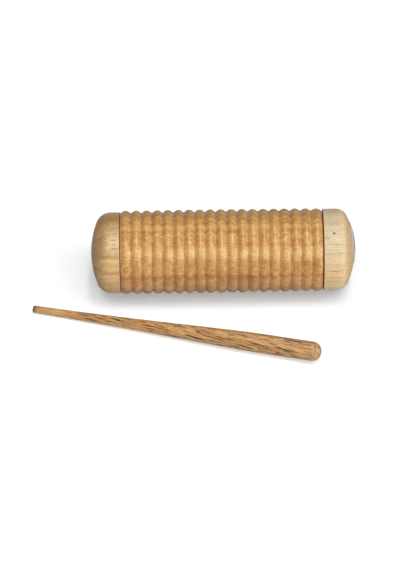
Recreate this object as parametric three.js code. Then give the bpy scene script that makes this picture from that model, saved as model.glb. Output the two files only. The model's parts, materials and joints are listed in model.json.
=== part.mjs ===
// Guiro shaker: a ribbed wooden tube closed by two domed wooden caps, with loose steel balls sealed inside,
// and the tapered wooden scraper that lies in front of it. Millimetres, +Z up. The tube lies along X with its
// middle rib over the origin, and both the ribs and the scraper rest on the plane z = 0.
import * as THREE from "three";

// Ribbed tube: ribs with straight flanks that meet in V valleys, a round crest and a narrow sanded land on it
const ribCount = 19;
const ribPitch = 7;
const ribDepth = 1.7;
const crestRadius = 27.65;
const crestLand = 0.6;
const crestArc = 2.5;
const wallUnderRibs = 5.5;

// End caps: a plain band, a corner arc and a shallow dome outside, and a spigot glued into the bore
const leftSetback = 0.9;
const rightSetback = 0.6;
const leftBand = 6.1;
const rightBand = 8.8;
const leftDome = 55;
const rightDome = 52.5;
const leftCorner = 10;
const rightCorner = 8;
const easedEdge = 0.5;
const spigotLength = 10;
const spigotChamfer = 0.8;
const spigotGlue = 0.25;
const leftSeam = 0.3;
const rightSeam = 0.7;

// Blank round label glued on the right dome, off its middle towards the upper back
const labelRadius = 13.5;
const labelThickness = 0.3;
const labelGlue = 0.15;
const labelShift = 4.6;
const labelTurn = THREE.MathUtils.degToRad(47);

// Loose balls, side by side in rows along the bottom of the bore
const ballRadius = 2.5;
const ballGap = 0.3;
const ballRows = 5;
const ballsPerRow = 4;

// Scraper: a slim blunt tip that swells into a round-ended handle. The swell is a curve from tip to handle,
// bent by two points, each given as shares of its length and of its rise.
const scraperLength = 195;
const tipRadius = 2.4;
const tipRound = 1.2;
const handleRadius = 6.4;
const handleRound = 6.2;
const handleLength = 34;
const swellStart = [0.5, 0.18];
const swellEnd = [0.75, 1];

// Where the scraper lies: turned from the tube's direction, a gap from its side, its tip past the left cap
const scraperAngle = THREE.MathUtils.degToRad(14);
const scraperGap = 8.55;
const tipReach = 40.3;

// Facets around the tube and the scraper, and along each arc and the scraper's taper
const tubeSides = 32;
const scraperSides = 20;
const ribArcSteps = 2;
const capArcSteps = 4;
const taperSteps = 12;

const tubeLength = ribCount * ribPitch;
const valleyRadius = crestRadius - ribDepth;
const boreRadius = valleyRadius - wallUnderRibs;
const leftCapSizes = { setback: leftSetback, band: leftBand, dome: leftDome, corner: leftCorner };
const rightCapSizes = { setback: rightSetback, band: rightBand, dome: rightDome, corner: rightCorner };
const tipRim = Math.min(tipRound, tipRadius);
const handleEnd = Math.min(handleRound, handleRadius);

const lacquer = { roughness: 0.45, metalness: 0 };
const finishes = {
  tube: new THREE.MeshStandardMaterial({ color: 0xcd9a5e, ...lacquer }),
  cap: new THREE.MeshStandardMaterial({ color: 0xdcc096, ...lacquer }),
  scraper: new THREE.MeshStandardMaterial({ color: 0xb98f5f, roughness: 0.6, metalness: 0 }),
  label: new THREE.MeshStandardMaterial({ color: 0xb7b0a4, roughness: 0.5, metalness: 0 }),
  ball: new THREE.MeshStandardMaterial({ color: 0xb8bbbe, roughness: 0.3, metalness: 1 }),
};

// The distance from the axis to the flats of a turned solid, as a share of the radius at its edges.
function flatShare(sides) {
  return Math.cos(Math.PI / sides);
}

// Points [x, r] along an arc, in equal steps of the angle from the axis.
function arc(centreX, centreR, radius, from, to, steps) {
  return Array.from({ length: steps + 1 }, (_, step) => {
    const angle = from + ((to - from) * step) / steps;
    return [centreX + radius * Math.cos(angle), centreR + radius * Math.sin(angle)];
  });
}

// A solid turned about X, with a flat underneath. Its outline of [x, r] points runs towards +X outside.
function turned(outline, sides) {
  const points = outline.map(([x, r]) => new THREE.Vector2(r, x));
  return new THREE.LatheGeometry(points, sides, Math.PI / sides).rotateZ(-Math.PI / 2);
}

function piece(name, geometry, finish) {
  const mesh = new THREE.Mesh(geometry, finish.clone());
  mesh.name = name;
  return mesh;
}

// Each flank is the straight line from the bottom of a valley that touches the crest's arc. The arc is at
// most the one that reaches down to the valley by itself.
function ribbedTube() {
  const flankRun = ribPitch / 2 - crestLand / 2;
  const round = Math.min(crestArc, (flankRun ** 2 + ribDepth ** 2) / (2 * ribDepth));
  const toValley = Math.hypot(flankRun, round - ribDepth);
  const flankAngle = Math.asin(round / toValley) - Math.atan2(round - ribDepth, flankRun);
  const centreR = crestRadius - round;
  const up = Math.PI / 2;
  const outline = [[-tubeLength / 2, valleyRadius]];
  for (let rib = 0; rib < ribCount; rib += 1) {
    const crest = -tubeLength / 2 + (rib + 0.5) * ribPitch;
    outline.push(...arc(crest - crestLand / 2, centreR, round, up + flankAngle, up, ribArcSteps));
    outline.push(...arc(crest + crestLand / 2, centreR, round, up, up - flankAngle, ribArcSteps));
    outline.push([crest + ribPitch / 2, valleyRadius]);
  }
  outline.push([tubeLength / 2, boreRadius], [-tubeLength / 2, boreRadius], outline[0]);
  return piece("ribbed_tube", turned(outline, tubeSides), finishes.tube);
}

// The dome is an arc about a point on the axis. The corner arc touches it from inside and runs into the band.
function domeShape({ setback, band, dome, corner }) {
  const capRadius = crestRadius - setback;
  const centreToCorner = dome - corner;
  const cornerR = capRadius - corner;
  const centre = band - Math.sqrt(centreToCorner ** 2 - cornerR ** 2);
  return { capRadius, cornerR, centre, top: centre + dome, meetAngle: Math.asin(cornerR / centreToCorner) };
}

// A cap stands with its shoulder at x = 0, its spigot towards -X and its dome towards +X.
function endCap(name, sizes) {
  const { band, dome, corner } = sizes;
  const { capRadius, cornerR, centre, meetAngle } = domeShape(sizes);
  const spigotRadius = boreRadius - spigotGlue;
  const outline = [
    [-spigotLength, 0],
    [-spigotLength, spigotRadius - spigotChamfer],
    [spigotChamfer - spigotLength, spigotRadius],
    [0, spigotRadius],
    [0, capRadius - easedEdge],
    [easedEdge, capRadius],
    ...arc(band, cornerR, corner, Math.PI / 2, meetAngle, capArcSteps),
    ...arc(centre, 0, dome, meetAngle, 0, capArcSteps).slice(1),
  ];
  return piece(name, turned(outline, tubeSides), finishes.cap);
}

// A thin disc that follows the right dome, in the frame of the right cap. It leans about the dome's centre.
function endLabel() {
  const inner = rightDome + labelGlue;
  const edge = Math.asin(labelRadius / rightDome);
  const outline = [
    ...arc(0, 0, inner, 0, edge, capArcSteps),
    ...arc(0, 0, inner + labelThickness, edge, 0, capArcSteps),
  ];
  const label = piece("end_label", turned(outline, tubeSides), finishes.label);
  label.position.x = domeShape(rightCapSizes).centre;
  label.rotation.set(-labelTurn, -Math.asin(labelShift / rightDome), 0);
  return label;
}

// Rows of balls on the bottom of the bore. Each second row is shifted so that the rows nest.
function rattleBalls() {
  const pitch = 2 * ballRadius + ballGap;
  const rowRadius = boreRadius * flatShare(tubeSides) - ballRadius - ballGap;
  const rowAngle = 2 * Math.asin(pitch / 2 / rowRadius);
  const balls = [];
  for (let row = 0; row < ballRows; row += 1) {
    const angle = (row - (ballRows - 1) / 2) * rowAngle;
    const shift = (row % 2 === 0 ? -1 : 1) * (pitch / 4);
    for (let place = 0; place < ballsPerRow; place += 1) {
      const number = String(balls.length + 1).padStart(2, "0");
      const sphere = new THREE.IcosahedronGeometry(ballRadius, 1);
      const ball = piece(`rattle_ball_${number}`, sphere, finishes.ball);
      ball.position.set(
        (place - (ballsPerRow - 1) / 2) * pitch + shift,
        rowRadius * Math.sin(angle),
        -rowRadius * Math.cos(angle),
      );
      balls.push(ball);
    }
  }
  return balls;
}

// The outline from the tip at x = 0: a rounded rim, a smooth swell, a plain handle and its round end.
function scraperOutline() {
  const taperLength = scraperLength - handleLength - tipRim;
  const rise = handleRadius - tipRadius;
  const bends = [[0, 0], swellStart, swellEnd, [1, 1]].map(
    ([along, up]) => new THREE.Vector2(tipRim + along * taperLength, tipRadius + up * rise),
  );
  const taper = new THREE.CubicBezierCurve(...bends).getPoints(taperSteps).map(({ x, y }) => [x, y]);
  return [
    [0, 0],
    ...arc(tipRim, tipRadius - tipRim, tipRim, Math.PI, Math.PI / 2, ribArcSteps).slice(0, -1),
    ...taper,
    ...arc(scraperLength - handleEnd, handleRadius - handleEnd, handleEnd, Math.PI / 2, 0, capArcSteps),
    [scraperLength, 0],
  ];
}

// The scraper lies on its tip's rim and on the swell of its handle, so its axis climbs towards the handle.
function scraper() {
  const outline = scraperOutline();
  const flat = flatShare(scraperSides);
  const climbs = outline
    .filter(([x]) => x > tipRim)
    .map(([x, r]) => Math.atan(((r - tipRadius) * flat) / (x - tipRim)));
  const climb = Math.max(...climbs);
  const lying = new THREE.Group();
  lying.position.set(-tipReach, 0, tipRadius * flat * Math.cos(climb) - tipRim * Math.sin(climb));
  lying.rotation.y = -climb;
  lying.add(piece("scraper_stick", turned(outline, scraperSides), finishes.scraper));
  const place = new THREE.Group();
  const leftEnd = -tubeLength / 2 - leftSeam - domeShape(leftCapSizes).top;
  place.position.set(leftEnd, -crestRadius - scraperGap, 0);
  place.rotation.z = -scraperAngle;
  place.add(lying);
  return place;
}

const leftCap = endCap("left_end_cap", leftCapSizes);
leftCap.position.x = -tubeLength / 2 - leftSeam;
leftCap.rotation.z = Math.PI;

const rightEnd = new THREE.Group();
rightEnd.position.x = tubeLength / 2 + rightSeam;
rightEnd.add(endCap("right_end_cap", rightCapSizes), endLabel());

const instrument = new THREE.Group();
instrument.position.z = crestRadius * flatShare(tubeSides);
instrument.add(ribbedTube(), leftCap, rightEnd, ...rattleBalls());

const guiroShaker = new THREE.Group();
guiroShaker.add(instrument, scraper());

export default guiroShaker;
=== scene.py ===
import json
import math

import bpy
import numpy as np
from mathutils import Matrix, Vector


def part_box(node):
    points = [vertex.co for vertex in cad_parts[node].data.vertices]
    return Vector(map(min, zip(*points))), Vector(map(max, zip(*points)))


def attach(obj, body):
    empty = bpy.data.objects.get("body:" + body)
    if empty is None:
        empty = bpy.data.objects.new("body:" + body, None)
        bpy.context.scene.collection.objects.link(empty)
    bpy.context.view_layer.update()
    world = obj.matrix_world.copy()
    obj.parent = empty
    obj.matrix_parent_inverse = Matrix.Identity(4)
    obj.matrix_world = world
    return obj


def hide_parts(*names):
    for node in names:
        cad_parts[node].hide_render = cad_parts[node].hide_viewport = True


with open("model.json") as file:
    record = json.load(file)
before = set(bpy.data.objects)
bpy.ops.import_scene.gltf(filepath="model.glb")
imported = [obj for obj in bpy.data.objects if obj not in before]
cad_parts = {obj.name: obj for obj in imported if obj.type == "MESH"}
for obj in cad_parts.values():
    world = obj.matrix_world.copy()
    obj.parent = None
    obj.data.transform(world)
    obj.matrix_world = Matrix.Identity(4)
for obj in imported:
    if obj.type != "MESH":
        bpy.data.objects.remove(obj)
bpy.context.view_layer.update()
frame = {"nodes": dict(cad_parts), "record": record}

# Ribbed tube
# A hollow hardwood tube, turned on a lathe, cut with a row of V-sided ribs, then sanded and lacquered.
# The grain runs along the tube, so the ribs cut through its growth rings and show them as loops and lines.
tube_low, tube_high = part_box("ribbed_tube")
tube_length = tube_high.x - tube_low.x
tube_middle = (tube_high.x + tube_low.x) / 2
crest_radius = (tube_high.z - tube_low.z) / 2
axis_height = (tube_high.z + tube_low.z) / 2
rib_count = 19
rib_pitch = tube_length / rib_count
rib_depth = 0.0017
crest_land = 0.0006
crest_arc = 0.0025
valley_arc = 0.0002
tube_wall = 0.0055
valley_radius = crest_radius - rib_depth
bore_radius = valley_radius - tube_wall
crest_points, valley_points, tube_sides = 8, 4, 160
sharp_edge = math.radians(50)

# The cut isn't quite even: the height wanders from rib to rib, and bows up towards one place along the tube.
rib_wander = 0.00008
wander_steps = (2.4, 5.1)
wander_start = 1.0
rib_bow = 0.0003
bow_middle = -0.010
bow_rise = 0.25


def arc_points(centre_along, centre_radius, radius, start, stop, count):
    """Points on an arc: centre plus radius times the cosine along the axis and the sine away from it."""
    angle = np.linspace(start, stop, count)
    return np.column_stack([centre_along + radius * np.cos(angle), centre_radius + radius * np.sin(angle)])


def rib_profile():
    """Half a rib is a flat land, a crest arc, a straight flank and a tight valley arc that touches the flank.
    It is mirrored into one rib, and the rib is repeated along the tube. The flank leans by
    asin(arc / reach) - atan(drop / run), where reach is the way from the crest arc's centre to the valley.
    The wander is the mean of two sines of the rib's number, and the bow is a parabola along the tube."""
    run = (rib_pitch - crest_land) / 2
    drop = crest_arc - rib_depth
    flank = math.asin(crest_arc / math.hypot(run, drop)) - math.atan2(drop, run)
    valley_centre = valley_radius + valley_arc / math.cos(flank)
    up = math.pi / 2
    crest = arc_points(crest_land / 2, crest_radius - crest_arc, crest_arc, up, up - flank, crest_points)
    valley = arc_points(rib_pitch / 2, valley_centre, valley_arc, -up - flank, -up, valley_points)
    half = np.vstack([crest, valley])
    rib = np.vstack([half[:0:-1] * (-1, 1), half[:-1]])
    number = np.arange(rib_count)
    centre = tube_low.x + (number + 0.5) * rib_pitch
    slow, quick = wander_steps
    wander = rib_wander * (np.sin(slow * number) + np.sin(quick * number + wander_start)) / 2
    wander += rib_bow * (bow_rise - ((centre - bow_middle) / (tube_length / 2)) ** 2)
    share = (rib[:, 1] - valley_radius) / rib_depth
    along = centre[:, None] + rib[None, :, 0]
    radius = rib[None, :, 1] + wander[:, None] * share[None, :]
    last = [[tube_high.x, half[-1, 1]]]
    return np.vstack([np.column_stack([along.ravel(), radius.ravel()]), last])


def turned_piece(name, profile, origin, direction, sides, material):
    """A profile of distances along an axis and radii, carried once round that axis: origin + distance * axis
    + radius * (cos(angle) * upward + sin(angle) * side). A profile that starts and ends on the axis closes in
    a fan at each pole, and any other one closes on itself."""
    direction = np.array(direction, float) / np.linalg.norm(direction)
    side = np.cross((0, 0, 1), direction)
    side /= np.linalg.norm(side)
    upward = np.cross(direction, side)
    angle = np.arange(sides) * 2 * math.pi / sides
    round_about = np.cos(angle)[:, None] * upward + np.sin(angle)[:, None] * side
    spindle = profile[0, 1] == 0 and profile[-1, 1] == 0
    rings = profile[1:-1] if spindle else profile
    points = rings[:, None, :1] * direction + rings[:, None, 1:] * round_about
    points = points.reshape(-1, 3)
    grid = np.arange(len(points)).reshape(len(rings), sides)
    lower = grid[:-1] if spindle else grid
    upper = grid[1:] if spindle else np.roll(grid, -1, axis=0)
    quads = np.stack([lower, np.roll(lower, -1, 1), np.roll(upper, -1, 1), upper], axis=-1)
    faces = quads.reshape(-1, 4).tolist()
    if spindle:
        poles = profile[[0, -1], :1] * direction
        first, last = len(points), len(points) + 1
        points = np.vstack([points, poles])
        faces += np.column_stack([np.full(sides, first), np.roll(grid[0], -1), grid[0]]).tolist()
        faces += np.column_stack([np.full(sides, last), grid[-1], np.roll(grid[-1], -1)]).tolist()
    mesh = bpy.data.meshes.new(name)
    mesh.from_pydata((points + np.array(origin)).tolist(), [], faces)
    mesh.shade_smooth()
    mesh.set_sharp_from_angle(angle=sharp_edge)
    mesh.materials.append(material)
    made = bpy.data.objects.new(name, mesh)
    bpy.context.scene.collection.objects.link(made)
    return made


def srgb(red, green, blue):
    """A colour as read off a screen, from 0 to 255, as linear light."""
    value = np.array([red, green, blue]) / 255
    linear = np.where(value <= 0.04045, value / 12.92, ((value + 0.055) / 1.055) ** 2.4)
    return (*linear.tolist(), 1.0)


def put(tree, kind, inputs=(), **settings):
    """Adds a shader node, makes its settings, and fills each listed input with a value or a link."""
    made = tree.nodes.new("ShaderNode" + kind)
    for key, value in settings.items():
        setattr(made, key, value)
    for key, value in dict(inputs).items():
        if isinstance(value, bpy.types.NodeSocket):
            tree.links.new(value, made.inputs[key])
        else:
            made.inputs[key].default_value = value
    return made


def math_of(tree, operation, first, second):
    """One operation on two values."""
    return put(tree, "Math", {0: first, 1: second}, operation=operation).outputs[0]


def ramp(tree, value, low, high, start=0.0, stop=1.0):
    """A value from low to high, spread over start to stop and held at the ends."""
    span = {"Value": value, "From Min": low, "From Max": high, "To Min": start, "To Max": stop}
    return put(tree, "MapRange", span).outputs["Result"]


def tint(tree, share, colour, other):
    """One colour over another, by a share."""
    return put(tree, "Mix", {0: share, 6: colour, 7: other}, data_type="RGBA").outputs[2]


def grain_noise(tree, position, cells, octaves, band, spread=(0.0, 1.0), roughness=0.5):
    """Noise that is drawn out along the grain, with its cells per metre along X and across it. The band of
    its values is spread over a range and held at the ends."""
    along, across = cells
    scale = (along, across, across)
    drawn = put(tree, "VectorMath", {0: position, 1: scale}, operation="MULTIPLY").outputs[0]
    noise = put(tree, "TexNoise", {"Vector": drawn, "Scale": 1.0, "Detail": octaves, "Roughness": roughness})
    return ramp(tree, noise.outputs["Fac"], *band, *spread)


def from_axis(tree, place):
    """The distance from the X axis: the root of the sum of the squares of Y and Z."""
    across = put(tree, "VectorMath", {0: place, 1: (0.0, 1.0, 1.0)}, operation="MULTIPLY").outputs[0]
    return put(tree, "VectorMath", {0: across}, operation="LENGTH").outputs["Value"]


def timber_group():
    """Wood in the round, so that a turned shape shows side grain along its length and end grain on its ends.
    Growth rings are bands of the distance from the pith, swayed by slow noise. Fibres and pores are noise
    drawn out along X. The mottle is slow noise over all of it, and the blush is one that reddens patches."""
    tree = bpy.data.node_groups.new("Timber", "ShaderNodeTree")
    colours = ("Pale", "Dark", "Blush", "Pore")
    shares = ("Ring Share", "Fibre Share", "Mottle Share", "Blush Share", "Pore Share")
    sockets = [("Position", "INPUT", "Vector")]
    sockets += [(name, "INPUT", "Color") for name in colours]
    sockets += [(name, "INPUT", "Float") for name in ("Rings per Metre", "Sway", *shares)]
    sockets += [("Color", "OUTPUT", "Color"), ("Pores", "OUTPUT", "Float"), ("Fibres", "OUTPUT", "Float")]
    for name, side, kind in sockets:
        tree.interface.new_socket(name, in_out=side, socket_type="NodeSocket" + kind)
    given = tree.nodes.new("NodeGroupInput").outputs
    position = given["Position"]

    sway_cells, ring_band = (14.0, 70.0, 70.0), (0.36, 0.64)
    slow = put(tree, "VectorMath", {0: position, 1: sway_cells}, operation="MULTIPLY").outputs[0]
    sway = put(tree, "TexNoise", {"Vector": slow, "Scale": 1.0, "Detail": 2.0}).outputs["Color"]
    centred = put(tree, "VectorMath", {0: sway, 1: (0.5, 0.5, 0.5)}, operation="SUBTRACT").outputs[0]
    moved = put(tree, "VectorMath", {0: centred, "Scale": given["Sway"]}, operation="SCALE").outputs[0]
    swayed = put(tree, "VectorMath", {0: position, 1: moved}, operation="ADD").outputs[0]
    growth = math_of(tree, "MULTIPLY", from_axis(tree, swayed), given["Rings per Metre"])
    ring = put(tree, "TexNoise", {"W": growth, "Scale": 1.0, "Detail": 2.0}, noise_dimensions="1D")
    rings = ramp(tree, ring.outputs["Fac"], *ring_band)

    fibre = grain_noise(tree, position, (60.0, 750.0), octaves=4.0, band=(0.33, 0.67), roughness=0.65)
    mottle = grain_noise(tree, position, (70.0, 150.0), octaves=3.0, band=(0.34, 0.66), roughness=0.6)
    blush = grain_noise(tree, position, (55.0, 120.0), octaves=4.0, band=(0.5, 0.68), roughness=0.65)
    pore = grain_noise(tree, position, (600.0, 2000.0), octaves=1.0, band=(0.57, 0.66))
    layers = zip((rings, fibre, mottle, blush, pore), shares)
    parts = [math_of(tree, "MULTIPLY", layer, given[name]) for layer, name in layers]
    ringed, fibrous, mottled, blushing, pores = parts
    darkness = math_of(tree, "ADD", math_of(tree, "ADD", ringed, fibrous), mottled)
    wood = tint(tree, darkness, given["Pale"], given["Dark"])
    reddened = tint(tree, blushing, wood, given["Blush"])
    result = tree.nodes.new("NodeGroupOutput").inputs
    tree.links.new(tint(tree, pores, reddened, given["Pore"]), result["Color"])
    tree.links.new(pores, result["Pores"])
    tree.links.new(fibre, result["Fibres"])
    return tree


timber = timber_group()


def new_finish(name):
    """A material with a Principled shader and a place on the piece, in metres of the object's frame."""
    material = bpy.data.materials.new(name)
    material.use_nodes = True
    tree = material.node_tree
    place = put(tree, "TexCoord").outputs["Object"]
    return material, tree, tree.nodes["Principled BSDF"].inputs, place


def seen_from(tree, place, origin, along=(1.0, 0.0, 0.0), size=(1.0, 1.0, 1.0), roll=0.0):
    """The place seen from an origin, with X turned to a direction, rolled about it, and each axis in units of
    a size."""
    turn = (roll, -math.atan2(along[2], math.hypot(along[0], along[1])), math.atan2(along[1], along[0]))
    inputs = {"Vector": place, "Location": origin, "Rotation": turn, "Scale": size}
    return put(tree, "Mapping", inputs, vector_type="TEXTURE").outputs[0]


def add_marks_and_painted_light(tree, place, colour, radius, marks_and_painted_light):
    """Local marks on the tube's axis, each one a soft lens with a ragged edge: marks in the wood, and painted
    highlights and painted shade. A mark has its place along X, its turn in degrees from the top towards the
    front, its length, width and depth, its colour and its share."""
    core, edge = 0.4, 1.1
    ragged = grain_noise(tree, place, (300.0, 900.0), octaves=2.0, band=(0.3, 0.7), spread=(-0.5, 0.5))
    for along, angle, length, width, depth, mark, share in marks_and_painted_light:
        turn = math.radians(angle)
        spot = (along, -radius * math.sin(turn), axis_height + radius * math.cos(turn))
        away = seen_from(tree, place, spot, size=(length / 2, width / 2, depth / 2), roll=turn)
        reach = put(tree, "VectorMath", {0: away}, operation="LENGTH").outputs["Value"]
        lens = ramp(tree, math_of(tree, "ADD", reach, ragged), core, edge, share, 0.0)
        colour = tint(tree, lens, colour, mark)
    return colour


relief_strength = 0.7
relief_depth = 0.0002


def wooden(tree, shader, wood, colour, thrown, satin, coat):
    """Wood under a thin lacquer. Pores are pits, and the satin gives the roughness between the fibres and on
    them. The light that the wood throws turns to a colour by a share. The coat sets the lacquer."""
    thrown_colour, thrown_share = thrown
    passed_on = math_of(tree, "MULTIPLY", put(tree, "LightPath").outputs["Is Diffuse Ray"], thrown_share)
    tree.links.new(tint(tree, passed_on, colour, thrown_colour), shader["Base Color"])
    tree.links.new(ramp(tree, wood["Fibres"], 0.0, 1.0, *satin), shader["Roughness"])
    height = math_of(tree, "SUBTRACT", wood["Fibres"], wood["Pores"])
    bump = put(tree, "Bump", {"Strength": relief_strength, "Distance": relief_depth, "Height": height})
    tree.links.new(bump.outputs[0], shader["Normal"])
    for key, value in coat.items():
        shader[key].default_value = value


# The light that the lacquered wood throws: a dim grey, by a share
dim_grey = ((0.28, 0.28, 0.28, 1.0), 0.8)
# The painted shade in the valleys: how far up the flanks it reaches, and its share
valley_shade_rise = 0.25 * rib_depth
valley_shade_share = 0.3
streak_depth = 0.012


def tube_finish():
    """Golden wood with streaks, a painted highlight, and painted shade in the valleys and low down."""
    material, tree, shader, place = new_finish("tube_wood")
    pith = (0.0, 0.0945, axis_height - 0.0325)
    values = {
        "Position": seen_from(tree, place, pith, size=(0.5, 1.0, 1.0)),
        "Pale": srgb(235, 194, 118),
        "Dark": srgb(189, 128, 60),
        "Blush": srgb(184, 104, 46),
        "Pore": srgb(132, 74, 30),
        "Rings per Metre": 330.0,
        "Sway": 0.012,
        "Ring Share": 0.3,
        "Fibre Share": 0.5,
        "Mottle Share": 0.3,
        "Blush Share": 0.5,
        "Pore Share": 0.65,
    }
    wood = put(tree, "Group", values, node_tree=timber).outputs
    # Painted shade: the wood is darker towards the bottom of each valley.
    radius = from_axis(tree, seen_from(tree, place, (0.0, 0.0, axis_height)))
    valley_shade = ramp(tree, radius, valley_radius, valley_radius + valley_shade_rise, valley_shade_share, 0.0)
    valley_shaded = tint(tree, valley_shade, wood["Color"], srgb(146, 90, 40))
    brown, cream = srgb(190, 112, 50), srgb(250, 210, 136)
    # Turn in degrees from the top towards the front, width, colour and share
    streaks_and_painted_light = [
        (7.9, 0.0050, cream, 0.3),
        (15.5, 0.0030, brown, 0.25),
        (36.0, 0.0045, brown, 0.22),
        # Painted highlight: the cream band round the middle of the front, where the wood faces the camera
        (46.0, 0.0090, cream, 0.25),
        (61.0, 0.0090, brown, 0.2),
        (82.5, 0.0045, srgb(150, 78, 36), 0.45),
        # Painted shade: the wide red-brown band darkens and reddens the whole lower front side
        (95.0, 0.0400, srgb(186, 98, 36), 0.25),
    ]
    whole = 2 * tube_length
    marks_and_painted_light = [
        (tube_middle, turn, whole, width, streak_depth, mark, share) for turn, width, mark, share in streaks_and_painted_light
    ]
    marked_colour = add_marks_and_painted_light(tree, place, valley_shaded, crest_radius, marks_and_painted_light)
    lacquer = {"Coat Weight": 1.0, "Coat Roughness": 0.19, "Coat IOR": 1.65}
    wooden(tree, shader, wood, marked_colour, dim_grey, satin=(0.36, 0.5), coat=lacquer)
    return material


tube_bore = [[tube_high.x, bore_radius], [tube_low.x, bore_radius]]
tube_profile = np.vstack([rib_profile(), tube_bore])
tube_axis = (0, 0, axis_height)
tube = turned_piece("ribbed_tube_turned", tube_profile, tube_axis, (1, 0, 0), tube_sides, tube_finish())
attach(tube, "guiro")
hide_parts("ribbed_tube")

# Rattle balls
# Loose balls of rolled steel, sealed in the bore, that run along the tube and rattle when it is shaken.
# Each ball is its own piece on its own body.
ball_points, ball_sides = 19, 32
scuffs_per_metre = 900.0


def steel_finish():
    """Dull grey steel with fine scuffs."""
    material, tree, shader, place = new_finish("ball_steel")
    scuff = put(tree, "TexNoise", {"Vector": place, "Scale": scuffs_per_metre, "Detail": 4.0}).outputs["Fac"]
    tree.links.new(tint(tree, scuff, srgb(176, 178, 182), srgb(206, 208, 210)), shader["Base Color"])
    tree.links.new(ramp(tree, scuff, 0.3, 0.7, 0.22, 0.42), shader["Roughness"])
    shader["Metallic"].default_value = 1.0
    return material


steel = steel_finish()
for body, nodes in frame["record"]["behaviour"]["bodies"].items():
    if not body.startswith("ball_"):
        continue
    low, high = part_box(nodes[0])
    middle = (low + high) / 2
    ball_radius = (high.z - low.z) / 2
    half_round = arc_points(0.0, 0.0, ball_radius, math.pi, 0.0, ball_points)
    half_round[[0, -1], 1] = 0
    ball = turned_piece(nodes[0] + "_shot", half_round, middle, (1, 0, 0), ball_sides, steel)
    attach(ball, body)
    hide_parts(nodes[0])

# End caps
# Two turned caps of paler wood, each with a spigot glued into the bore, a plain band and a shallow dome.
# The band shows straight side grain and the dome shows end grain. The right cap stands off by an open seam.
left_setback, right_setback = 0.0009, 0.0006
left_dome, right_dome = 0.055, 0.0525
left_corner, right_corner = 0.010, 0.008
eased_edge = 0.0005
spigot_length = 0.010
spigot_chamfer = 0.0008
spigot_glue = 0.00025
# Glue stain and painted shade inside the seam: their reach past the shoulder and their share
seam_stain_and_shade_width = 0.0003
seam_stain_and_shade_share = 0.95
end_sway = 0.0008
edge_points, corner_points, dome_points, cap_sides = 6, 18, 26, 160


def cap_profile(length, radius, dome, corner):
    """From the spigot's inner face to the dome's top: chamfered spigot, shoulder, eased edge, band, corner
    arc and dome arc, with the shoulder at 0. The corner arc touches the dome's arc from inside."""
    corner_radius = radius - corner
    reach = math.sqrt((dome - corner) ** 2 - corner_radius**2)
    meet = math.asin(corner_radius / (dome - corner))
    band = length - dome + reach
    spigot_radius = bore_radius - spigot_glue
    quarter = math.pi / 2
    spigot = [
        [-spigot_length, 0],
        [-spigot_length, spigot_radius - spigot_chamfer],
        [spigot_chamfer - spigot_length, spigot_radius],
        [0, spigot_radius],
    ]
    edge = arc_points(eased_edge, radius - eased_edge, eased_edge, 2 * quarter, quarter, edge_points)
    corner_line = arc_points(band, corner_radius, corner, quarter, meet, corner_points)
    dome_line = arc_points(band - reach, 0.0, dome, meet, 0.0, dome_points)[1:]
    dome_line[-1, 1] = 0
    return np.vstack([spigot, edge, corner_line, dome_line])


def cap_finish(name, pith, values, radius, ends, marks_and_painted_light, seam):
    """Straight-grained wood with a few marks, under a thin lacquer. Past a ragged line along X the end grain
    has drunk more of the lacquer: it is darker by a share, and dotted with pores. Some marks are painted
    light:
    a painted highlight and a pale patch of light thrown up from below. Inside the seam the glue has stained
    it, and painted shade darkens it further."""
    material, tree, shader, place = new_finish(name)
    start, stop, dark, share = ends
    position = seen_from(tree, place, pith)
    wood = put(tree, "Group", {"Position": position, **values}, node_tree=timber).outputs
    along = put(tree, "SeparateXYZ", {0: place}).outputs[0]
    sway = (-end_sway, end_sway)
    ragged = grain_noise(tree, place, (500.0, 500.0), octaves=3.0, band=(0.3, 0.7), spread=sway)
    end = ramp(tree, math_of(tree, "ADD", along, ragged), start, stop)
    dots = grain_noise(tree, place, (900.0, 900.0), octaves=1.0, band=(0.5, 0.62), spread=(0.7, 1.3))
    soaked = math_of(tree, "MULTIPLY", math_of(tree, "MULTIPLY", end, dots), share)
    colour = add_marks_and_painted_light(tree, place, tint(tree, soaked, wood["Color"], dark), radius, marks_and_painted_light)
    # Inside the seam: a glue stain, and painted shade that darkens the slot
    stained_and_shaded = tint(tree, ramp(tree, along, *seam, 0.0, seam_stain_and_shade_share), colour, srgb(84, 38, 14))
    lacquer = {"Coat Weight": 0.4, "Coat Roughness": 0.23, "Coat IOR": 1.5}
    wooden(tree, shader, wood, stained_and_shaded, dim_grey, satin=(0.4, 0.55), coat=lacquer)
    return material


cap_shapes = {
    "left": (-1, crest_radius - left_setback, left_dome, left_corner),
    "right": (1, crest_radius - right_setback, right_dome, right_corner),
}
cap_piths = {"left": (0.0, 0.051, axis_height + 0.048), "right": (0.0, -0.051, axis_height - 0.048)}
cap_woods = {
    "left": {
        "Pale": srgb(218, 190, 138),
        "Dark": srgb(181, 142, 87),
        "Blush": srgb(176, 116, 64),
        "Pore": srgb(112, 72, 38),
        "Rings per Metre": 420.0,
        "Sway": 0.006,
        "Ring Share": 0.35,
        "Fibre Share": 0.35,
        "Mottle Share": 0.25,
        "Blush Share": 0.3,
        "Pore Share": 0.4,
    },
    "right": {
        "Pale": srgb(227, 211, 176),
        "Dark": srgb(201, 176, 134),
        "Blush": srgb(211, 176, 128),
        "Pore": srgb(140, 102, 62),
        "Rings per Metre": 600.0,
        "Sway": 0.003,
        "Ring Share": 0.4,
        "Fibre Share": 0.35,
        "Mottle Share": 0.2,
        "Blush Share": 0.3,
        "Pore Share": 0.3,
    },
}
left_brown, left_red, left_highlight_paint = srgb(104, 64, 32), srgb(176, 108, 56), srgb(240, 214, 168)
right_brown = srgb(112, 76, 40)
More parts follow.
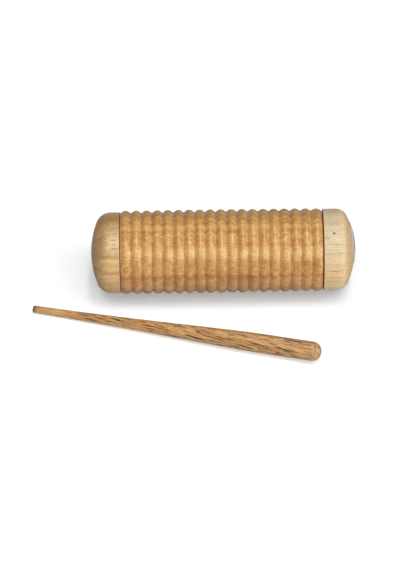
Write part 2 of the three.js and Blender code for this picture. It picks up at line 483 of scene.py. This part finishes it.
# Place along X, turn in degrees from the top towards the front, length, width, depth, colour and share
cap_marks_and_painted_light = {
    "left": [
        # Painted light: a pale patch on the lower front of the band, as light thrown up from the table
        (-0.0700, 75.0, 0.026, 0.030, 0.02, srgb(240, 198, 130), 0.3),
        (-0.0730, -12.0, 0.030, 0.017, 0.02, srgb(150, 100, 52), 0.55),
        # Painted highlight: a cream patch on the front of the band
        (-0.0715, 31.0, 0.014, 0.018, 0.01, left_highlight_paint, 0.4),
        (-0.0790, 28.0, 0.006, 0.015, 0.01, left_red, 0.5),
        (-0.0740, 50.7, 0.040, 0.0034, 0.03, left_red, 0.5),
        (-0.0740, 74.4, 0.040, 0.0036, 0.03, left_red, 0.5),
        (-0.0698, 15.7, 0.0052, 0.0006, 0.002, left_brown, 0.7),
        (-0.0704, 25.8, 0.0056, 0.0007, 0.002, left_brown, 0.8),
        (-0.0702, 32.7, 0.0018, 0.0008, 0.002, left_brown, 0.6),
        (-0.0702, 38.5, 0.0056, 0.0007, 0.002, left_brown, 0.8),
        (-0.0758, 23.8, 0.0013, 0.0009, 0.003, left_brown, 0.6),
        (-0.0772, 26.2, 0.0012, 0.0008, 0.003, left_brown, 0.6),
        (-0.0752, 31.0, 0.0016, 0.0008, 0.003, left_brown, 0.6),
        (-0.0764, 33.4, 0.0011, 0.0008, 0.003, left_brown, 0.5),
    ],
    "right": [
        # A warm orange patch over the lower front of the band
        (0.0720, 84.0, 0.040, 0.030, 0.02, srgb(238, 184, 112), 0.45),
        (0.0738, 21.4, 0.0022, 0.0018, 0.002, right_brown, 0.8),
        (0.0698, 28.8, 0.0034, 0.0010, 0.002, right_brown, 0.6),
        (0.0788, 22.5, 0.0070, 0.0009, 0.002, right_brown, 0.45),
        (0.0755, 36.8, 0.0240, 0.0009, 0.004, right_brown, 0.3),
        (0.0755, 49.6, 0.0220, 0.0009, 0.004, right_brown, 0.5),
        (0.0755, 76.4, 0.0220, 0.0011, 0.004, right_brown, 0.5),
        (0.0755, 88.0, 0.0220, 0.0011, 0.004, right_brown, 0.3),
        (0.0755, 95.5, 0.0220, 0.0011, 0.004, right_brown, 0.3),
    ],
}
# Where the end grain starts and is full along X, its colour and its share
cap_ends = {
    "left": (-0.0760, -0.0795, srgb(170, 108, 56), 0.4),
    "right": (0.0800, 0.0824, srgb(190, 148, 94), 0.7),
}
for hand, (way, radius, dome, corner) in cap_shapes.items():
    low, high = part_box(f"{hand}_end_cap")
    inner, top = (low.x, high.x) if way > 0 else (high.x, low.x)
    shoulder = inner + way * spigot_length
    profile = cap_profile(abs(top - shoulder), radius, dome, corner)
    seam = (shoulder + way * seam_stain_and_shade_width, shoulder)
    looks = (cap_piths[hand], cap_woods[hand], radius, cap_ends[hand], cap_marks_and_painted_light[hand], seam)
    wood = cap_finish(f"{hand}_cap_wood", *looks)
    cap_origin = (shoulder, 0, axis_height)
    cap = turned_piece(f"{hand}_end_cap_turned", profile, cap_origin, (way, 0, 0), cap_sides, wood)
    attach(cap, "guiro")
    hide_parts(f"{hand}_end_cap")

# End label
# A blank round paper sticker, glued on the right dome a little off its middle and bent to it.
# It has a grey face, a pale border and no print.
label_radius = 0.0135
label_glue = 0.00015
label_thickness = 0.0003
label_shift = 0.0046
label_border = 0.0019
border_fade = 0.0002
specks_per_metre = 1400.0
label_points, label_sides = 14, 128
label_lean = math.asin(label_shift / right_dome)
label_turn = math.radians(47)
label_centre = (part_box("right_end_cap")[1].x - right_dome, 0.0, axis_height)
label_along = (
    math.cos(label_lean),
    math.sin(label_lean) * math.sin(label_turn),
    math.sin(label_lean) * math.cos(label_turn),
)


def label_profile():
    """Two arcs about the dome's centre, one label's thickness apart, joined by a straight edge."""
    inner = right_dome + label_glue
    edge = math.asin(label_radius / right_dome)
    under = arc_points(0.0, 0.0, inner, 0.0, edge, label_points)
    over = arc_points(0.0, 0.0, inner + label_thickness, edge, 0.0, label_points)
    under[0, 1] = 0
    over[-1, 1] = 0
    return np.vstack([under, over])


def label_finish():
    """Grey paper with faint fibres and a pale border."""
    material, tree, shader, place = new_finish("label_paper")
    from_middle = from_axis(tree, seen_from(tree, place, label_centre, label_along))
    border_start = label_radius - label_border
    border = ramp(tree, from_middle, border_start, border_start + border_fade)
    speck = put(tree, "TexNoise", {"Vector": place, "Scale": specks_per_metre, "Detail": 3.0}).outputs["Fac"]
    paper = tint(tree, ramp(tree, speck, 0.3, 0.7), srgb(122, 124, 132), srgb(104, 106, 114))
    tree.links.new(tint(tree, border, paper, srgb(206, 204, 194)), shader["Base Color"])
    tree.links.new(ramp(tree, speck, 0.3, 0.7, 0.45, 0.6), shader["Roughness"])
    return material


paper = label_finish()
label = turned_piece("end_label_sticker", label_profile(), label_centre, label_along, label_sides, paper)
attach(label, "guiro")
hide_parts("end_label")

# Scraper
# A loose hardwood stick that is drawn across the ribs: a slim blunt tip that swells into a handle with a
# round end. It is turned, sanded and oiled, with dark streaks along its grain.
tip_radius = 0.00237
tip_round = 0.0012
handle_radius = 0.00632
handle_round = 0.0062
handle_length = 0.034
swell_start, swell_end = (0.5, 0.18), (0.75, 1.0)
rim_points, swell_points, end_points, scraper_sides = 8, 60, 16, 64
pith_offset = (0.0, -0.02, 0.012)
grain_slant = (0.0, -0.09, -0.08)


def scraper_line():
    """The stick's axis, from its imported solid: the mean of a turned solid's points lies on the axis, and the
    points spread widest along it. The line runs from the tip to the handle's end."""
    mesh = frame["nodes"]["scraper_stick"].data
    points = np.zeros(len(mesh.vertices) * 3)
    mesh.vertices.foreach_get("co", points)
    points = points.reshape(-1, 3)
    middle = points.mean(0)
    along = np.linalg.svd(points - middle, full_matrices=False)[2][0]
    along *= np.sign(along[0])
    reach = (points - middle) @ along
    return middle + reach.min() * along, along, reach.max() - reach.min()


def scraper_profile(length):
    """A rounded rim, a swell, a plain handle and a round end. The swell is a cubic curve from (0, 0) to
    (1, 1), in shares of its length and rise, that two points bend:
    3 (1 - t)^2 t start + 3 (1 - t) t^2 end + t^3."""
    quarter = math.pi / 2
    rim = arc_points(tip_round, tip_radius - tip_round, tip_round, 2 * quarter, quarter, rim_points)[:-1]
    t = np.linspace(0, 1, swell_points)[:, None]
    swell = 3 * (1 - t) ** 2 * t * np.array(swell_start) + 3 * (1 - t) * t**2 * np.array(swell_end) + t**3
    taper = (tip_round, tip_radius) + swell * (length - handle_length - tip_round, handle_radius - tip_radius)
    end_centre = (length - handle_round, handle_radius - handle_round)
    end = arc_points(*end_centre, handle_round, quarter, 0.0, end_points)
    return np.vstack([[[0, 0]], rim, taper, end, [[length, 0]]])


def scraper_finish(tip, along):
    """Tan wood with long dark streaks that run a little across the stick. They are faint near the tip, and
    the end of the tip is dark."""
    material, tree, shader, place = new_finish("scraper_wood")
    grain = seen_from(tree, place, tip + np.array(pith_offset), along + np.array(grain_slant))
    values = {
        "Position": grain,
        "Pale": srgb(233, 188, 123),
        "Dark": srgb(190, 132, 70),
        "Blush": srgb(190, 116, 54),
        "Pore": srgb(110, 70, 38),
        "Rings per Metre": 420.0,
        "Sway": 0.008,
        "Ring Share": 0.35,
        "Fibre Share": 0.45,
        "Mottle Share": 0.3,
        "Blush Share": 0.4,
        "Pore Share": 0.5,
    }
    wood = put(tree, "Group", values, node_tree=timber).outputs
    broad = grain_noise(tree, grain, (50.0, 1250.0), octaves=2.0, band=(0.56, 0.61), spread=(0.0, 0.95))
    fine = grain_noise(tree, grain, (100.0, 1900.0), octaves=2.0, band=(0.57, 0.64), spread=(0.0, 0.6))
    from_tip = put(tree, "SeparateXYZ", {0: seen_from(tree, place, tip, along)}).outputs[0]
    plain_start, plain_stop, plain_share = 0.012, 0.045, 0.25
    plain_tip = ramp(tree, from_tip, plain_start, plain_stop, plain_share, 1.0)
    streak = math_of(tree, "MULTIPLY", math_of(tree, "MAXIMUM", broad, fine), plain_tip)
    marked_colour = tint(tree, streak, wood["Color"], srgb(78, 44, 20))
    dark_start, dark_stop, dark_share = 0.0006, 0.0034, 0.9
    dark_tip = ramp(tree, from_tip, dark_start, dark_stop, dark_share, 0.0)
    ended = tint(tree, dark_tip, marked_colour, srgb(78, 56, 38))
    # The light that the stick throws: a warm tan, all of it
    warm_tan = ((0.9, 0.75, 0.6, 1.0), 1.0)
    oil = {"Coat Weight": 1.0, "Coat Roughness": 0.27, "Coat IOR": 1.85}
    wooden(tree, shader, wood, ended, warm_tan, satin=(0.36, 0.5), coat=oil)
    return material


scraper_tip, scraper_along, scraper_length = scraper_line()
scraper = turned_piece(
    "scraper_stick_turned",
    scraper_profile(scraper_length),
    scraper_tip,
    scraper_along,
    scraper_sides,
    scraper_finish(scraper_tip, scraper_along),
)
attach(scraper, "scraper")
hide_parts("scraper_stick")

# Table
# A plain white sheet that the object lies on. The camera sees it as white, and it keeps the shadows.
# It is matt, flat and far larger than the object.
table_half = 4.0
table_white = (1.0, 1.0, 1.0, 1.0)
table_shine = (0.2, 0.2, 0.2, 1.0)
table_seen_white = (1.03, 1.045, 1.055, 1.0)


def table_finish():
    """A matt white that is brighter to the camera than in the light it throws, and dim in the lacquer."""
    material = bpy.data.materials.new("table_white")
    material.use_nodes = True
    tree = material.node_tree
    tree.nodes.remove(tree.nodes["Principled BSDF"])
    path = put(tree, "LightPath").outputs
    lit = tint(tree, path["Is Glossy Ray"], table_white, table_shine)
    matt = put(tree, "BsdfDiffuse", {"Color": tint(tree, path["Is Camera Ray"], lit, table_seen_white)})
    tree.links.new(matt.outputs[0], tree.nodes["Material Output"].inputs["Surface"])
    return material


table_corners = np.array([[-1, -1, 0], [1, -1, 0], [1, 1, 0], [-1, 1, 0]]) * table_half
table_mesh = bpy.data.meshes.new("table")
table_mesh.from_pydata(table_corners.tolist(), [], [[0, 1, 2, 3]])
table_mesh.materials.append(table_finish())
table = bpy.data.objects.new("table", table_mesh)
bpy.context.scene.collection.objects.link(table)

# Light
# Soft boxes in a pale room, far away so that the table is evenly lit. Four of them throw the soft shadows:
# in front, on both sides and overhead. The others ease the shade low down or draw a sheen, and throw none.
# The room is white to the camera and dim in the lacquer, so that the edges of the wood stay dark.
bpy.context.scene.view_settings.view_transform = "Standard"
room_light = 0.10
room_shine = 0.08
lamp_distance = 9.0
lamp_white, lamp_cool, lamp_warm = (1.0, 1.0, 1.0), (0.96, 1.0, 1.05), (1.0, 0.8, 0.58)


def softbox(name, azimuth, elevation, width, depth, share, colour, mirrored, shadow):
    """A lamp on a sphere about the tube, facing it. Azimuth 0 is the camera's side, and turns right. A matt
    white that faces the lamp shines with the share: share = power / (pi * distance)^2. The lacquer shows the
    lamp where it is mirrored."""
    turn, climb = math.radians(azimuth), math.radians(elevation)
    away = Vector((math.sin(turn) * math.cos(climb), -math.cos(turn) * math.cos(climb), math.sin(climb)))
    lamp = bpy.data.lights.new(name, "AREA")
    lamp.shape = "RECTANGLE"
    lamp.size = width
    lamp.size_y = depth
    lamp.energy = share * (math.pi * lamp_distance) ** 2
    lamp.color = colour
    lamp.use_shadow = shadow
    made = bpy.data.objects.new(name, lamp)
    made.location = Vector((0, 0, axis_height)) + away * lamp_distance
    made.rotation_euler = away.to_track_quat("Z", "Y").to_euler()
    made.visible_camera = False
    made.visible_glossy = mirrored
    bpy.context.scene.collection.objects.link(made)


# Azimuth and elevation in degrees, width, depth, share, colour, mirrored and shadow
lamps = {
    "front": (0, 55, 2.9, 5.0, 0.20, lamp_white, False, True),
    "front sheen": (26, 55, 1.4, 5.0, 0.14, lamp_white, True, False),
    "right": (70, 64, 3.0, 7.0, 0.29, lamp_white, False, True),
    "overhead": (90, 84, 7.2, 0.6, 0.17, lamp_white, True, True),
    "fill": (55, 25, 7.2, 5.8, 0.11, lamp_cool, True, False),
    "low": (70, 10, 3.6, 2.7, 0.20, lamp_cool, False, False),
    "low sheen": (66, 6, 5.0, 4.0, 0.07, lamp_cool, True, False),
    "low glow": (45, 12, 4.0, 2.7, 0.08, lamp_warm, False, False),
    "left": (-72, 72, 3.0, 4.8, 0.18, lamp_white, False, True),
    "front strip": (0, 36, 0.7, 4.5, 0.04, lamp_white, True, False),
    "back strip": (180, 52, 0.7, 6.5, 0.02, lamp_white, True, False),
}
for name, settings in lamps.items():
    softbox(name, *settings)

world = bpy.data.worlds.new("room")
world.use_nodes = True
bpy.context.scene.world = world
sky = world.node_tree.nodes["Background"].inputs
sky["Color"].default_value = (1.0, 1.0, 1.0, 1.0)
path = put(world.node_tree, "LightPath").outputs
seen = ramp(world.node_tree, path["Is Camera Ray"], 0.0, 1.0, room_light, 1.0)
dimmed = ramp(world.node_tree, path["Is Glossy Ray"], 0.0, 1.0, 0.0, room_light - room_shine)
world.node_tree.links.new(math_of(world.node_tree, "SUBTRACT", seen, dimmed), sky["Strength"])

# Camera
# A long lens above the front of the table. The tube's middle and its rib pitch, in pixels of a frame of
# 400 by 570, give the place and the scale.
frame_pixels = Vector((400, 570))
tube_pixel = Vector((221.25, 250.95))
rib_pixels = 10.565
view_elevation = math.radians(47)
view_roll = math.radians(0.87)
view_distance = 2.0
sensor_width = 36
pixel_size = rib_pitch / rib_pixels

level_right = Vector((1, 0, 0))
level_up = Vector((0, math.sin(view_elevation), math.cos(view_elevation)))
back = Vector((0, -math.cos(view_elevation), math.sin(view_elevation)))
right = level_right * math.cos(view_roll) - level_up * math.sin(view_roll)
up = level_right * math.sin(view_roll) + level_up * math.cos(view_roll)
shift = (tube_pixel - frame_pixels / 2) * pixel_size
spot = Vector((tube_middle, 0, axis_height)) - right * shift.x + up * shift.y + back * view_distance

lens = bpy.data.cameras.new("camera")
lens.sensor_width = sensor_width
lens.lens = sensor_width * view_distance / (pixel_size * frame_pixels.y)
camera = bpy.data.objects.new("camera", lens)
camera.matrix_world = Matrix.Translation(spot) @ Matrix((right, up, back)).transposed().to_4x4()
bpy.context.scene.collection.objects.link(camera)
bpy.context.scene.camera = camera
